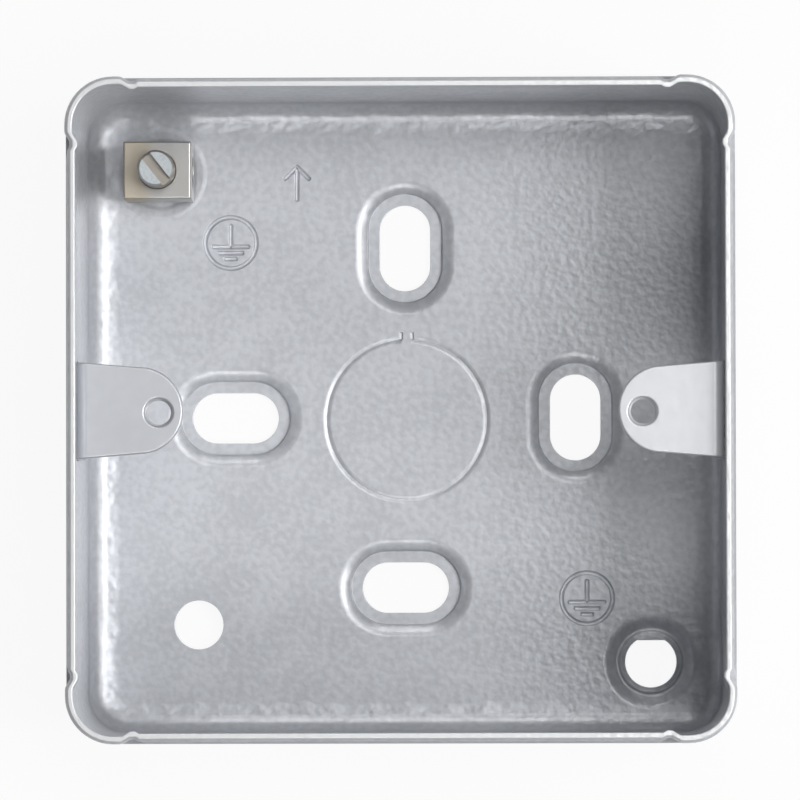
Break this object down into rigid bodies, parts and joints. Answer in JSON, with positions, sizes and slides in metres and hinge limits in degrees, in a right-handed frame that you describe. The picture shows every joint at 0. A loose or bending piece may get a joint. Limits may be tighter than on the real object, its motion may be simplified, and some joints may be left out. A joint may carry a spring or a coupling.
{
  "type": "surface mount back box",
  "caption": "Pressed steel surface back box with round corners, swaged rim, slots in sunk pads, knockouts, screw lugs and a brass earth terminal.",
  "frame": {"origin": "middle of the plane that the feet of the base rest on", "axes": "+Z out of the open front, +Y up as the box hangs on a wall, +X to the right seen from the front"},
  "size_m": [0.0834, 0.083, 0.04],
  "materials": {
    "box_paint": "aluminium-coloured paint with a fine orange-peel texture, semi-gloss",
    "lug_steel": "smooth aluminium-coloured paint over sheet steel",
    "terminal_brass": "milled, slightly dull",
    "screw_plating": "bright zinc plating"
  },
  "bodies": {
    "box": {"box_body": "box_paint", "left_lug": "lug_steel", "right_lug": "lug_steel", "earth_terminal_block": "terminal_brass"},
    "clamping_screw": {"earth_terminal_screw": "screw_plating"}
  },
  "joints": [
    {"name": "clamping_screw_turn", "type": "hinge", "parent": "box", "child": "clamping_screw", "pos_m": [-0.03155, 0.03155, 0.0106], "axis": [0, 0, 1], "range_deg": [-810, 630]}
  ]
}
